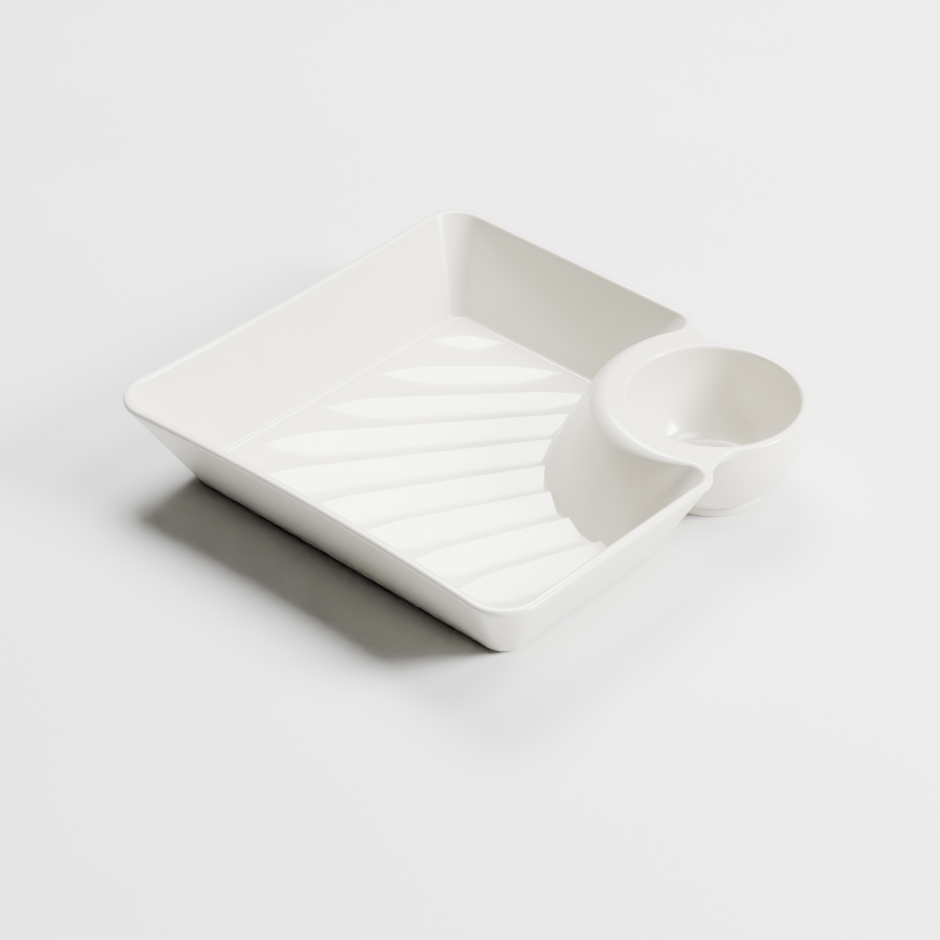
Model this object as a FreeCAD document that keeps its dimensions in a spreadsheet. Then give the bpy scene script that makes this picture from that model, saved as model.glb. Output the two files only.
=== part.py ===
"""Chip and dip server: a square tray with sloping walls and a round dip cup in one corner.

The whole server is one moulding. It is built here as the regions of that moulding, each a closed
solid that meets its neighbours face to face. Millimetres, +Z up. The server rests on Z = 0 and the
origin is under the middle of its bounding box. The cup stands at the +X +Y corner.
"""
import FreeCAD, Part
import math
import os
import Sketcher
from FreeCAD import Placement, Rotation, Vector

os.makedirs("parts", exist_ok=True)
doc = FreeCAD.newDocument("ChipAndDipServer")

# ---------------------------------------------------------------- driving dimensions
SIZES = [
    ("rim_height", 39.5, "table to the top of the rim"),
    ("wall_thickness", 3.3, "wall of the moulding, measured level"),
    ("rim_left", -101.5, "rim at the ends of the left side, X"),
    ("rim_right", 99.6, "rim at the right side, X"),
    ("rim_front", -96.2, "rim at the ends of the front side, Y"),
    ("rim_back", 96.4, "rim at the back side, Y"),
    ("left_bow_radius", 1700.0, "the rim's left side bows inwards on this radius"),
    ("front_bow_radius", 1120.0, "the rim's front side bows inwards on this radius"),
    ("base_left", -81.4, "base at the left side, X"),
    ("base_right", 79.7, "base at the right side, X"),
    ("base_front", -73.8, "base at the front side, Y"),
    ("base_back", 76.6, "base at the back side, Y"),
    ("rim_corner_radius", 16.0, "tray corners at the rim"),
    ("base_corner_radius", 9.0, "tray corners at the base"),
    ("floor_top", 3.5, "table to the flat of the tray floor"),
    ("foot_height", 1.0, "height of the foot ring under the tray"),
    ("foot_inset", 2.4, "base edge to the outside of the foot ring"),
    ("foot_width", 4.0, "width of the foot ring under the tray"),
    ("cup_centre_x", 65.2, "cup axis, X"),
    ("cup_centre_y", 58.2, "cup axis, Y"),
    ("cup_mouth_radius", 32.5, "opening of the cup"),
    ("cup_rim_radius", 36.4, "outside of the cup at the rim"),
    ("lip_rounding", 1.2, "rounding of the edges of the rim"),
    ("bowl_centre_height", 32.0, "height of the centre of the bowl's round sides"),
    ("bowl_centre_offset", 1.4, "how far past the axis that centre lies"),
    ("bowl_floor", 5.2, "table to the bottom of the bowl's inside"),
    ("bowl_underside", 1.6, "table to the underside of the bowl"),
    ("bowl_floor_rounding", 12.0, "turn from the bowl's side into its bottom"),
    ("cup_foot_radius", 23.6, "outside of the cup's foot ring"),
    ("cup_foot_width", 3.6, "width of the cup's foot ring"),
    ("cup_foot_blank", 6.0, "foot ring before the bowl is cut out of its top"),
    ("divider_rim_radius", 41.9, "divider's face under the rim, from the cup axis"),
    ("divider_run", 19.8, "how far the divider's tray face slopes outwards from rim to base"),
    ("divider_back_run", 0.8, "how far its hidden face, towards the cup, slopes outwards"),
    ("junction_radius", 7.5, "turn of the tray wall into the divider, tray side"),
    ("valley_radius", 14.0, "outline of the rim in the two valleys between tray and cup"),
    ("bridge_thickness", 3.6, "rim bridge between divider and cup"),
    ("bridge_bury", 1.0, "how far the bridge runs into the divider"),
    ("split_radius", 66.5, "cut between divider and tray wall, from the cup axis"),
    ("fan_point_x", 160.7, "point that the floor's ribs run towards, X"),
    ("fan_point_y", 239.3, "point that the floor's ribs run towards, Y"),
    ("rib_height", 1.6, "crest of a rib over the flat of the floor"),
    ("rib_width", 11.0, "level width of a rib's front slope"),
    ("rib_back", 0.9, "level width of a rib's steep back"),
    ("rib_run_out", 15.0, "length over which a rib's end sinks into the floor"),
    ("rib_bury", 0.5, "how far a rib reaches down into the floor"),
]
sheet = doc.addObject("Spreadsheet::Sheet", "Sizes")
for row, (alias, value, note) in enumerate(SIZES, start=1):
    sheet.set(f"A{row}", note)
    sheet.set(f"B{row}", str(value))
    sheet.setAlias(f"B{row}", alias)
doc.recompute()
size = {alias: float(sheet.get(alias)) for alias, _, _ in SIZES}
cup_axis = Vector(size["cup_centre_x"], size["cup_centre_y"], 0)
BASE = (0.0, "0")
RIM = (1.0, "1")
FOOT_TOP = (size["foot_height"] / size["rim_height"], "(Sizes.foot_height / Sizes.rim_height)")


# ---------------------------------------------------------------- helpers
def add_sketch(body, name, role, offset):
    """A sketch on one of the body's own origin planes, moved by an offset."""
    sketch = body.newObject("Sketcher::SketchObject", name)
    origin_plane = next(item for item in body.Origin.OriginFeatures if item.Role == role)
    sketch.AttachmentSupport = [(origin_plane, "")]
    sketch.MapMode = "FlatFace"
    sketch.AttachmentOffset = offset
    return sketch


def bind(sketch, kind, where, value, expression):
    """Add one dimension to a sketch and bind it to the sheet."""
    index = sketch.addConstraint(Sketcher.Constraint(kind, *where, value))
    sketch.setExpression(f"Constraints[{index}]", expression)


def join(sketch, first, first_end, second, second_end):
    """Let two edges of a sketch share a point."""
    sketch.addConstraint(Sketcher.Constraint("Coincident", first, first_end, second, second_end))


def heading(origin, target):
    """Direction from one point to another, in radians from +X."""
    return math.atan2(target.y - origin.y, target.x - origin.x)


def draw_outline(sketch, way, inset, run, bowed):
    """Draw the tray's outline, a share of the way from base to rim and moved in by an inset.

    Three corners are round and set by centre and radius. At the fourth the outline turns round
    the cup: a turn, a long hollow arc on the cup's axis and a second turn, tangent to each other.
    The hollow arc moves away from the cup towards the base, by as much as the run says.
    The sides that join them are straight, or bowed inwards at the left and the front of the rim.
    """
    part_way, way_text = way
    step, step_text = inset
    radius = size["base_corner_radius"] * (1 - part_way) + size["rim_corner_radius"] * part_way - step
    radius_text = (f"(Sizes.base_corner_radius * (1 - {way_text}) + Sizes.rim_corner_radius * {way_text}"
                   f" - {step_text})")
    turn_radius = size["junction_radius"] + size["wall_thickness"] - step
    turn_text = f"(Sizes.junction_radius + Sizes.wall_thickness - {step_text})"
    cup_radius = size["divider_rim_radius"] + size[run] * (1 - part_way) + step
    cup_text = f"Sizes.divider_rim_radius + Sizes.{run} * (1 - {way_text}) + {step_text}"
    level = {}
    level_text = {}
    for side, sign in (("left", 1), ("right", -1), ("front", 1), ("back", -1)):
        level[side] = (size["base_" + side] * (1 - part_way) + size["rim_" + side] * part_way
                       + sign * step)
        level_text[side] = (f"Sizes.base_{side} * (1 - {way_text}) + Sizes.rim_{side} * {way_text}"
                            f" + {sign} * {step_text}")
    reach = cup_radius + turn_radius
    right_x = level["right"] - turn_radius
    right_turn = Vector(right_x, cup_axis.y - math.sqrt(reach ** 2 - (right_x - cup_axis.x) ** 2), 0)
    back_y = level["back"] - turn_radius
    back_turn = Vector(cup_axis.x - math.sqrt(reach ** 2 - (back_y - cup_axis.y) ** 2), back_y, 0)
    front_left = Vector(level["left"] + radius, level["front"] + radius, 0)
    front_right = Vector(level["right"] - radius, level["front"] + radius, 0)
    back_left = Vector(level["left"] + radius, level["back"] - radius, 0)
    quarter = math.pi / 2
    rounds = [
        (front_left, radius, 2 * quarter, 3 * quarter),
        (front_right, radius, 3 * quarter, 4 * quarter),
        (right_turn, turn_radius, 0, heading(right_turn, cup_axis)),
        (cup_axis, cup_radius, heading(cup_axis, back_turn), heading(cup_axis, right_turn) + 4 * quarter),
        (back_turn, turn_radius, heading(back_turn, cup_axis), quarter),
        (back_left, radius, quarter, 2 * quarter),
    ]
    for centre, round_radius, start, end in rounds:
        circle = Part.Circle(centre, Vector(0, 0, 1), round_radius)
        sketch.addGeometry(Part.ArcOfCircle(circle, start, end))
    for index, flat_end, upright_end in ((0, 1, 2), (1, 2, 1), (5, 2, 1)):
        sketch.addConstraint(Sketcher.Constraint("Horizontal", index, 3, index, flat_end))
        sketch.addConstraint(Sketcher.Constraint("Vertical", index, 3, index, upright_end))
        bind(sketch, "Radius", (index,), radius, radius_text)
    for index, side, sign, axis in ((0, "left", 1, "X"), (0, "front", 1, "Y"), (1, "right", -1, "X"),
                                    (1, "front", 1, "Y"), (5, "left", 1, "X"), (5, "back", -1, "Y")):
        bind(sketch, "Distance" + axis, (-1, 1, index, 3), level[side] + sign * radius,
             f"{level_text[side]} + {sign} * {radius_text}")
    sketch.addConstraint(Sketcher.Constraint("Horizontal", 2, 3, 2, 1))
    sketch.addConstraint(Sketcher.Constraint("Vertical", 4, 3, 4, 2))
    bind(sketch, "Radius", (2,), turn_radius, turn_text)
    bind(sketch, "Radius", (4,), turn_radius, turn_text)
    bind(sketch, "DistanceX", (-1, 1, 2, 3), right_x, f"{level_text['right']} - {turn_text}")
    bind(sketch, "DistanceY", (-1, 1, 4, 3), back_y, f"{level_text['back']} - {turn_text}")
    bind(sketch, "Radius", (3,), cup_radius, cup_text)
    bind(sketch, "DistanceX", (-1, 1, 3, 3), cup_axis.x, "Sizes.cup_centre_x")
    bind(sketch, "DistanceY", (-1, 1, 3, 3), cup_axis.y, "Sizes.cup_centre_y")
    sketch.addConstraint(Sketcher.Constraint("Tangent", 2, 2, 3, 2))
    sketch.addConstraint(Sketcher.Constraint("Tangent", 3, 1, 4, 1))

    bows = {0: "front_bow_radius", 5: "left_bow_radius"} if bowed else {}
    for before, after in ((0, 1), (1, 2), (4, 5), (5, 0)):
        start = sketch.getPoint(before, 2)
        end = sketch.getPoint(after, 1)
        if before not in bows:
            index = sketch.addGeometry(Part.LineSegment(start, end))
            join(sketch, index, 1, before, 2)
            join(sketch, index, 2, after, 1)
            continue
        bow = size[bows[before]]
        chord = end - start
        outward = Vector(chord.y, -chord.x, 0).normalize()
        centre = (start + end) * 0.5 + outward * math.sqrt(bow ** 2 - chord.Length ** 2 / 4)
        circle = Part.Circle(centre, Vector(0, 0, 1), bow)
        index = sketch.addGeometry(Part.ArcOfCircle(circle, heading(centre, end), heading(centre, start)))
        join(sketch, index, 2, before, 2)
        join(sketch, index, 1, after, 1)
        bind(sketch, "Radius", (index,), bow, f"Sizes.{bows[before]}")


def tray_form(name, low, high, low_way, high_way, inset, run):
    """A solid that fills the tray's outline between two heights, straight from one to the other."""
    body = doc.addObject("PartDesign::Body", name)
    outlines = []
    for end, height, way in (("low", low, low_way), ("high", high, high_way)):
        lift = Placement(Vector(0, 0, height[0]), Rotation())
        sketch = add_sketch(body, f"{name}_{end}", "XY_Plane", lift)
        sketch.setExpression("AttachmentOffset.Base.z", height[1])
        draw_outline(sketch, way, inset, run, way == RIM)
        outlines.append(sketch)
    loft = body.newObject("PartDesign::AdditiveLoft", name + "_loft")
    loft.Profile = outlines[0]
    loft.Sections = [outlines[1]]
    loft.Ruled = True
    doc.recompute()
    return body


def cut(name, base, tool):
    """One solid less another."""
    result = doc.addObject("Part::Cut", name)
    result.Base = base
    result.Tool = tool
    doc.recompute()
    return result


def cylinder(name, radius_text, low_text, height_text):
    """An upright cylinder on the cup's axis."""
    result = doc.addObject("Part::Cylinder", name)
    result.setExpression("Radius", radius_text)
    result.setExpression("Height", height_text)
    result.setExpression("Placement.Base.x", "Sizes.cup_centre_x")
    result.setExpression("Placement.Base.y", "Sizes.cup_centre_y")
    result.setExpression("Placement.Base.z", low_text)
    return result


sub_parts = []


def name_part(part, label):
    """Give a finished region of the moulding its name."""
    part.Label = label
    sub_parts.append(part)
    return part


# ---------------------------------------------------------------- tray wall and divider
ZERO = (0.0, "0")
FLOOR_UNDER = (size["foot_height"], "Sizes.foot_height")
RIM_TOP = (size["rim_height"], "Sizes.rim_height")
WALL = (size["wall_thickness"], "Sizes.wall_thickness")
outer_form = tray_form("outer_form", FLOOR_UNDER, RIM_TOP, FOOT_TOP, RIM, ZERO, "divider_back_run")
inner_form = tray_form("inner_form", FLOOR_UNDER, RIM_TOP, FOOT_TOP, RIM, WALL, "divider_run")
wall_ring = cut("wall_ring", outer_form, inner_form)
split = cylinder("split", "Sizes.split_radius", "0", "Sizes.rim_height + 1")
name_part(cut("tray_wall_region", wall_ring, split), "tray_wall")
divider = doc.addObject("Part::Common", "divider")
divider.Base = wall_ring
divider.Tool = split
doc.recompute()

# ---------------------------------------------------------------- dip cup
cup = doc.addObject("PartDesign::Body", "cup")
on_axis = Placement(Vector(cup_axis.x, 0, -cup_axis.y), Rotation())
bowl_profile = add_sketch(cup, "bowl_profile", "XZ_Plane", on_axis)
bowl_profile.setExpression("AttachmentOffset.Base.x", "Sizes.cup_centre_x")
bowl_profile.setExpression("AttachmentOffset.Base.z", "-Sizes.cup_centre_y")
ball_centre = Vector(-size["bowl_centre_offset"], size["bowl_centre_height"], 0)
outer_ball = size["cup_rim_radius"] + size["bowl_centre_offset"]
inner_ball = size["cup_mouth_radius"] + size["bowl_centre_offset"]


def ball_reach(radius, height):
    """Distance from the cup's axis of the bowl's round side at a height."""
    return ball_centre.x + math.sqrt(radius ** 2 - (ball_centre.y - height) ** 2)


def ball_arc(radius, height):
    """Round side of the bowl from a height up to the level of its centre."""
    start = math.atan2(height - ball_centre.y, ball_reach(radius, height) - ball_centre.x)
    return Part.ArcOfCircle(Part.Circle(ball_centre, Vector(0, 0, 1), radius), start, 0)


under = Vector(0, size["bowl_underside"], 0)
under_edge = Vector(ball_reach(outer_ball, size["bowl_underside"]), size["bowl_underside"], 0)
outer_knee = Vector(size["cup_rim_radius"], size["bowl_centre_height"], 0)
outer_rim = Vector(size["cup_rim_radius"], size["rim_height"], 0)
inner_rim = Vector(size["cup_mouth_radius"], size["rim_height"], 0)
inner_knee = Vector(size["cup_mouth_radius"], size["bowl_centre_height"], 0)
floor_edge = Vector(ball_reach(inner_ball, size["bowl_floor"]), size["bowl_floor"], 0)
floor_middle = Vector(0, size["bowl_floor"], 0)
bowl_profile.addGeometry([
    Part.LineSegment(under, under_edge),
    ball_arc(outer_ball, size["bowl_underside"]),
    Part.LineSegment(outer_knee, outer_rim),
    Part.LineSegment(outer_rim, inner_rim),
    Part.LineSegment(inner_rim, inner_knee),
    ball_arc(inner_ball, size["bowl_floor"]),
    Part.LineSegment(floor_edge, floor_middle),
    Part.LineSegment(floor_middle, under),
])
for first, first_end, second, second_end in (
        (0, 2, 1, 1), (1, 2, 2, 1), (2, 2, 3, 1), (3, 2, 4, 1),
        (4, 2, 5, 2), (5, 1, 6, 1), (6, 2, 7, 1), (7, 2, 0, 1)):
    join(bowl_profile, first, first_end, second, second_end)
for line in (0, 3, 6):
    bowl_profile.addConstraint(Sketcher.Constraint("Horizontal", line))
for line in (2, 4):
    bowl_profile.addConstraint(Sketcher.Constraint("Vertical", line))
bowl_profile.addConstraint(Sketcher.Constraint("PointOnObject", 0, 1, -2))
bowl_profile.addConstraint(Sketcher.Constraint("PointOnObject", 6, 2, -2))
bowl_profile.addConstraint(Sketcher.Constraint("Coincident", 1, 3, 5, 3))
bowl_profile.addConstraint(Sketcher.Constraint("Horizontal", 1, 3, 1, 2))
bowl_profile.addConstraint(Sketcher.Constraint("Horizontal", 5, 3, 5, 2))
bind(bowl_profile, "DistanceX", (1, 3, -1, 1), size["bowl_centre_offset"], "Sizes.bowl_centre_offset")
bind(bowl_profile, "DistanceY", (-1, 1, 1, 3), size["bowl_centre_height"], "Sizes.bowl_centre_height")
bind(bowl_profile, "DistanceX", (-1, 1, 2, 2), size["cup_rim_radius"], "Sizes.cup_rim_radius")
bind(bowl_profile, "DistanceX", (-1, 1, 3, 2), size["cup_mouth_radius"], "Sizes.cup_mouth_radius")
bind(bowl_profile, "DistanceY", (-1, 1, 3, 2), size["rim_height"], "Sizes.rim_height")
bind(bowl_profile, "DistanceY", (-1, 1, 0, 1), size["bowl_underside"], "Sizes.bowl_underside")
bind(bowl_profile, "DistanceY", (-1, 1, 6, 2), size["bowl_floor"], "Sizes.bowl_floor")
bowl = cup.newObject("PartDesign::Revolution", "bowl")
bowl.Profile = bowl_profile
bowl.ReferenceAxis = (bowl_profile, ["V_Axis"])
bowl.Angle = 360
doc.recompute()


def ring_edge(shape, radius, height):
    """Name of the circle edge on the cup's axis with a radius and a height."""
    for number, edge in enumerate(shape.Edges, start=1):
        if edge.Curve.TypeId != "Part::GeomCircle":
            continue
        if abs(edge.Curve.Radius - radius) < 0.01 and abs(edge.Curve.Center.z - height) < 0.01:
            return f"Edge{number}"
    raise ValueError(f"no circle of radius {radius} at height {height}")


bowl_turn = cup.newObject("PartDesign::Fillet", "bowl_turn")
bowl_turn.Base = (bowl, [ring_edge(bowl.Shape, floor_edge.x, floor_edge.y)])
bowl_turn.setExpression("Radius", "Sizes.bowl_floor_rounding")
doc.recompute()
mouth = cup.newObject("PartDesign::Fillet", "mouth")
mouth.Base = (bowl_turn, [ring_edge(bowl_turn.Shape, inner_rim.x, inner_rim.y)])
mouth.setExpression("Radius", "Sizes.lip_rounding")
cup.Tip = mouth
doc.recompute()
name_part(cup, "dip_cup")

cup_foot_blank = cylinder("cup_foot_blank", "Sizes.cup_foot_radius", "0", "Sizes.cup_foot_blank")
cup_foot_hole = cylinder("cup_foot_hole", "Sizes.cup_foot_radius - Sizes.cup_foot_width", "-1",
                         "Sizes.cup_foot_blank + 2")
cup_foot_tube = cut("cup_foot_tube", cup_foot_blank, cup_foot_hole)
name_part(cut("cup_foot_region", cup_foot_tube, cup), "cup_foot_ring")

# ---------------------------------------------------------------- bridge of rim between divider and cup
turn_radius = size["junction_radius"] + size["wall_thickness"]
turn_reach = size["divider_rim_radius"] + turn_radius
valley_reach = size["cup_rim_radius"] + size["valley_radius"]
right_x = size["rim_right"] - turn_radius
right_drop = math.sqrt(turn_reach ** 2 - (right_x - cup_axis.x) ** 2)
right_turn = Vector(right_x, cup_axis.y - right_drop, 0)
back_y = size["rim_back"] - turn_radius
back_drop = math.sqrt(turn_reach ** 2 - (back_y - cup_axis.y) ** 2)
back_turn = Vector(cup_axis.x - back_drop, back_y, 0)


def valley_centre(turn, side):
    """Centre of the arc that touches a turn of the tray wall and the cup from outside."""
    span = turn_radius + size["valley_radius"]
    apart = (turn - cup_axis).Length
    swing = math.acos((valley_reach ** 2 + apart ** 2 - span ** 2) / (2 * valley_reach * apart))
    towards = heading(cup_axis, turn) + side * swing
    return cup_axis + Vector(math.cos(towards), math.sin(towards), 0) * valley_reach


def arc(centre, radius, start, end):
    """Round edge about a centre, from one direction to another the shorter way."""
    sweep = (end - start + math.pi) % (2 * math.pi) - math.pi
    points = [centre + Vector(math.cos(turn), math.sin(turn), 0) * radius
              for turn in (start, start + sweep / 2, start + sweep)]
    return Part.Arc(*points).toShape()


right_valley = valley_centre(right_turn, 1)
back_valley = valley_centre(back_turn, -1)
bury = size["bridge_bury"]
inner_turn = turn_radius - bury
inner_reach = size["divider_rim_radius"] + bury
edges = []
for turn, valley in ((right_turn, right_valley), (back_turn, back_valley)):
    to_turn = heading(valley, turn)
    to_valley = heading(turn, valley)
    edges.append(arc(valley, size["valley_radius"], heading(valley, cup_axis), to_turn))
    outside = turn + Vector(math.cos(to_valley), math.sin(to_valley), 0) * turn_radius
    inside = turn + Vector(math.cos(to_valley), math.sin(to_valley), 0) * inner_turn
    edges.append(Part.makeLine(outside, inside))
    edges.append(arc(turn, inner_turn, to_valley, heading(turn, cup_axis)))
facing = heading(cup_axis, cup_axis - Vector(1, 1, 0))
for turn, valley in ((right_turn, right_valley), (back_turn, back_valley)):
    edges.append(arc(cup_axis, inner_reach, heading(cup_axis, turn), facing))
    edges.append(arc(cup_axis, size["cup_rim_radius"], heading(cup_axis, valley), facing))
bridge = doc.addObject("Part::Feature", "bridge")
bridge_outline = Part.Wire(Part.__sortEdges__(edges))
bridge.Shape = Part.Face(bridge_outline).extrude(Vector(0, 0, size["bridge_thickness"]))
bridge.Placement = Placement(Vector(0, 0, size["rim_height"] - size["bridge_thickness"]), Rotation())
divider_wall = doc.addObject("Part::Fuse", "divider_with_bridge")
divider_wall.Base = divider
divider_wall.Tool = bridge
doc.recompute()
name_part(divider_wall, "divider_wall")

# ---------------------------------------------------------------- ribbed floor
slab = doc.addObject("Part::Box", "slab")
slab.setExpression("Length", "Sizes.rim_right - Sizes.rim_left")
slab.setExpression("Width", "Sizes.rim_back - Sizes.rim_front")
slab.setExpression("Height", "Sizes.floor_top - Sizes.foot_height")
slab.setExpression("Placement.Base.x", "Sizes.rim_left")
slab.setExpression("Placement.Base.y", "Sizes.rim_front")
slab.setExpression("Placement.Base.z", "Sizes.foot_height")
floor_blank = doc.addObject("Part::Common", "floor_blank")
floor_blank.Base = inner_form
floor_blank.Tool = slab
doc.recompute()

# Each rib is a hipped ridge with its crest close to its back edge. It is given by the crest's
# direction from the fan point, in degrees from +X, and by how far from that point its tips lie.
RIBS = [(38.3, 269, 301), (42.9, 246, 320), (46.9, 234, 343), (50.5, 222, 368), (54.1, 222, 377),
        (57.7, 222, 362), (61.2, 222, 349), (65.0, 222, 337), (68.8, 222, 327)]
ribbed_blank = floor_blank
for number, (bearing, near_tip, far_tip) in enumerate(RIBS, start=1):
    turn = math.radians(bearing)
    along = Vector(-math.cos(turn), -math.sin(turn), 0)
    forwards = Vector(math.sin(turn), -math.cos(turn), 0)
    rib = doc.addObject("Part::Wedge", f"rib_{number}")
    rib.Xmin = 0
    rib.Xmax = far_tip - near_tip
    rib.setExpression("X2min", "Sizes.rib_run_out")
    rib.setExpression("X2max", f"{far_tip - near_tip} - Sizes.rib_run_out")
    rib.Ymin = 0
    rib.setExpression("Ymax", "Sizes.rib_height + Sizes.rib_bury")
    rib.Zmin = 0
    rib.setExpression("Zmax", "Sizes.rib_width + Sizes.rib_back")
    rib.setExpression("Z2min", "Sizes.rib_back")
    rib.setExpression("Z2max", "Sizes.rib_back")
    start = Vector(size["fan_point_x"], size["fan_point_y"], size["floor_top"] - size["rib_bury"])
    start = start + along * near_tip - forwards * size["rib_back"]
    rib.Placement = Placement(start, Rotation(along, Vector(0, 0, 1), forwards, "XYZ"))
    fused = doc.addObject("Part::Fuse", f"floor_with_rib_{number}")
    fused.Base = ribbed_blank
    fused.Tool = rib
    doc.recompute()
    ribbed_blank = fused
trimmed = doc.addObject("Part::Common", "floor_in_tray")
trimmed.Base = ribbed_blank
trimmed.Tool = inner_form
doc.recompute()
name_part(trimmed, "ribbed_floor")

# ---------------------------------------------------------------- foot ring under the tray
FOOT_OUT = (size["foot_inset"], "Sizes.foot_inset")
FOOT_IN = (size["foot_inset"] + size["foot_width"], "(Sizes.foot_inset + Sizes.foot_width)")
foot_outside = tray_form("foot_outside", ZERO, FLOOR_UNDER, BASE, BASE, FOOT_OUT, "divider_back_run")
foot_inside = tray_form("foot_inside", ZERO, FLOOR_UNDER, BASE, BASE, FOOT_IN, "divider_back_run")
name_part(cut("tray_foot_region", foot_outside, foot_inside), "tray_foot_ring")

# ---------------------------------------------------------------- check and write
doc.recompute()
for item in doc.Objects:
    if "Invalid" in item.State or "Error" in item.State:
        raise ValueError(f"{item.Label} failed: {item.State}")
for part in sub_parts:
    shape = part.Shape
    if shape.isNull() or not shape.isValid() or len(shape.Solids) != 1:
        raise ValueError(f"{part.Label} is not one valid solid")
    box = shape.optimalBoundingBox(True, False)
    print(f"{part.Label:16s} {shape.Volume:10.0f} mm3  X {box.XMin:7.2f} {box.XMax:7.2f}"
          f"  Y {box.YMin:7.2f} {box.YMax:7.2f}  Z {box.ZMin:6.2f} {box.ZMax:6.2f}")
for part in sub_parts:
    part.Shape.exportStep(f"parts/{part.Label}.step")
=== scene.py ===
import math

import bmesh
import bpy
from mathutils import Matrix, Vector


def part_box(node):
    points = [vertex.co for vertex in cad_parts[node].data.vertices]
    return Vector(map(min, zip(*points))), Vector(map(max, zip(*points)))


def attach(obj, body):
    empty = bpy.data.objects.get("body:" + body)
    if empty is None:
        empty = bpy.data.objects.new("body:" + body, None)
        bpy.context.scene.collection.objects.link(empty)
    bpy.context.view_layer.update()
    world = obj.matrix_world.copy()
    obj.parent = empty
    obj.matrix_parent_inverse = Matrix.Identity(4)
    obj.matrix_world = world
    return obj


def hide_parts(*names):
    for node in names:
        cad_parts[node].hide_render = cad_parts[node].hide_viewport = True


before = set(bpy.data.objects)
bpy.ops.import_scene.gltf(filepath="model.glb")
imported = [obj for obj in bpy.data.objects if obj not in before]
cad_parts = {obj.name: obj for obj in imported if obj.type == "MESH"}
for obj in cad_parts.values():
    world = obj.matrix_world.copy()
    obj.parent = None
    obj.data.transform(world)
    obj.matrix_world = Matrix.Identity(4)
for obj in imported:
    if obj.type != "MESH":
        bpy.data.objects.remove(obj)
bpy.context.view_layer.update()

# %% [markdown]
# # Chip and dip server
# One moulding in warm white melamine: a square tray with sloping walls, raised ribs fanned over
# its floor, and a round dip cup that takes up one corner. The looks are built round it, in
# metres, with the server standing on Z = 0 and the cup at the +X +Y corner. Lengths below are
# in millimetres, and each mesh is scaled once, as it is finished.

MM = 0.001

# %% [markdown]
# ## Sizes
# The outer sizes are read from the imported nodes: the rim's height, the four sides of the rim and
# the cup's axis. The rest are the moulder's own numbers: wall thickness, slopes and corner radii.

# %% Sizes
wall_low, wall_high = (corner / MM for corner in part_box("tray_wall"))
cup_low, cup_high = (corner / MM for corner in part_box("dip_cup"))
rim_height = wall_high.z
rim_side = {"left": wall_low.x, "right": wall_high.x, "front": wall_low.y, "back": wall_high.y}
side_run = {"left": 20.1, "right": 19.9, "front": 22.4, "back": 19.8}
wall = 3.3
rim_corner, base_corner = 16.0, 9.0
left_bow, front_bow = 1700.0, 1120.0
cup_axis = (cup_low.xy + cup_high.xy) / 2
cup_rim = (cup_high.x - cup_low.x) / 2
cup_mouth = 32.5
divider_rim, divider_run, divider_back_run = 41.9, 19.8, 0.8
turn_radius = 7.5 + wall
valley_radius = 14.0
floor_top, floor_under = 3.5, 1.0
print("rim", {side: round(v, 1) for side, v in rim_side.items()}, "height", round(rim_height, 1))
print("cup axis", [round(v, 1) for v in cup_axis], "rim radius", round(cup_rim, 2))

# %% [markdown]
# ## Round corners in plan
# Every outline of the server is a string of round corners joined by sides. `arc` walks round one
# corner in equal steps; `side` gives the points between two corners, straight or bowed a little,
# so that all the strings have the same number of points and can be bridged ring to ring.

# %% Arcs and sides
def heading(start, end):
    """Direction from one point to another, in degrees from +X."""
    return math.degrees(math.atan2(end.y - start.y, end.x - start.x))


def polar(centre, radius, degrees):
    turn = math.radians(degrees)
    return Vector((centre.x + radius * math.cos(turn), centre.y + radius * math.sin(turn)))


def arc(centre, radius, start, end, steps):
    """Points of an arc, both ends kept."""
    return [polar(centre, radius, start + (end - start) * i / steps) for i in range(steps + 1)]


def side(start, end, bow, steps):
    """Points between two corners. A bow radius curves the side inwards, to the left of its way."""
    chord = end - start
    inwards = Vector((-chord.y, chord.x)).normalized()
    points = []
    for i in range(1, steps):
        along = i / steps
        sag = chord.length_squared * along * (1 - along) / (2 * bow) if bow else 0.0
        points.append(start + chord * along + inwards * sag)
    return points


# %% [markdown]
# ## The tray's outline
# The tray is square with three round corners. At the fourth its wall turns round the cup, runs
# along a hollow arc and turns back. The same outline serves for every level: `way` goes from 0
# at the base to 1 at the rim, and `inset` moves it inwards through the wall. `run` says how far
# the hollow arc backs away from the cup on its way down: a long slope on the tray's side of the
# divider, hardly any on its hidden side. Two marks on the turns show where the tray's outer edge
# leaves the wall and swings over to the cup.

# %% Tray outline
# Steps along a tray corner, a side, a turn, the stretch that faces the cup, the cup's free side
# and a valley. SHARED steps lead from mark to mark, where tray and outer edge run together.
CORNER, SIDE, TURN, FACING, FREE, VALLEY = 12, 18, 8, 60, 84, 12
SHARED = 3 * CORNER + 4 * SIDE + 2 * TURN


def turn_centres(way, run):
    """Centres of the two turns of the tray wall, at the right side and at the back side."""
    reach = divider_rim + run * (1 - way) + turn_radius
    right_x = rim_side["right"] - side_run["right"] * (1 - way) - turn_radius
    back_y = rim_side["back"] - side_run["back"] * (1 - way) - turn_radius
    right = Vector((right_x, cup_axis.y - math.sqrt(reach ** 2 - (right_x - cup_axis.x) ** 2)))
    back = Vector((cup_axis.x - math.sqrt(reach ** 2 - (back_y - cup_axis.y) ** 2), back_y))
    return right, back


def valley_centre(turn, way_round):
    """Centre of the arc that touches a turn and the cup's rim from outside."""
    to_cup = cup_rim + valley_radius
    to_turn = turn_radius + valley_radius
    apart = (turn - cup_axis).length
    swing = math.acos((to_cup ** 2 + apart ** 2 - to_turn ** 2) / (2 * to_cup * apart))
    return polar(cup_axis, to_cup, heading(cup_axis, turn) + way_round * math.degrees(swing))


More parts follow.
